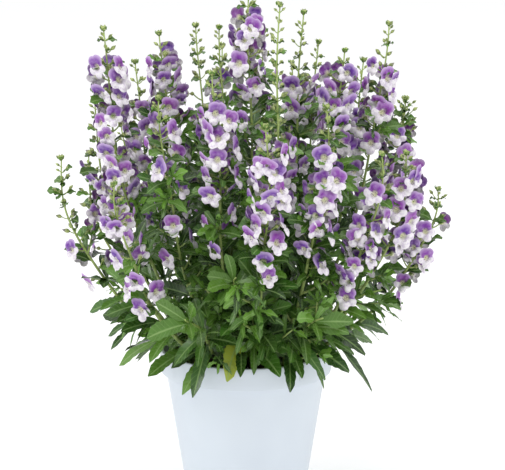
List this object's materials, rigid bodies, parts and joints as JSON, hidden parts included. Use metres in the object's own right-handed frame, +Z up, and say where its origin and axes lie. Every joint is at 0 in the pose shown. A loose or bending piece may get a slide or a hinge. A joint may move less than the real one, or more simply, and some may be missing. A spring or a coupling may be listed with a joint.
{
  "type": "potted angelonia",
  "caption": "Angelonia in flower, in a white plastic nursery pot: upright spikes of two-lipped purple and white blooms over lance-shaped leaves.",
  "frame": {"origin": "centre of the pot's flat underside, on its axis", "axes": "+Z up along the pot's axis; -Y towards the side that the picture shows; +X to the right in the picture"},
  "size_m": [0.3343, 0.3036, 0.444],
  "materials": {
    "pot": "satin",
    "soil": "matte",
    "foliage": "satin",
    "blooms": "matte"
  },
  "bodies": {
    "root": {"pot": "pot", "soil": "soil", "flowering_stem_01": "blooms", "flowering_stem_02": "blooms", "flowering_stem_03": "blooms", "flowering_stem_04": "blooms", "flowering_stem_05": "blooms", "flowering_stem_06": "blooms", "flowering_stem_07": "blooms", "flowering_stem_08": "blooms", "flowering_stem_09": "blooms", "flowering_stem_10": "blooms", "flowering_stem_11": "blooms", "flowering_stem_12": "blooms", "flowering_stem_13": "blooms", "flowering_stem_14": "blooms", "flowering_stem_15": "blooms", "flowering_stem_16": "blooms", "flowering_stem_17": "blooms", "flowering_stem_18": "blooms", "flowering_stem_19": "blooms", "flowering_stem_20": "blooms", "flowering_stem_21": "blooms", "flowering_stem_22": "blooms", "flowering_stem_23": "blooms", "flowering_stem_24": "blooms", "flowering_stem_25": "blooms", "flowering_stem_26": "blooms", "flowering_stem_27": "blooms", "flowering_stem_28": "blooms", "flowering_stem_29": "blooms", "flowering_stem_30": "blooms", "flowering_stem_31": "blooms", "leafy_shoot_01": "foliage", "leafy_shoot_02": "foliage", "leafy_shoot_03": "foliage", "leafy_shoot_04": "foliage", "leafy_shoot_05": "foliage", "leafy_shoot_06": "foliage", "leafy_shoot_07": "foliage", "leafy_shoot_08": "foliage", "leafy_shoot_09": "foliage"}
  },
  "joints": []
}
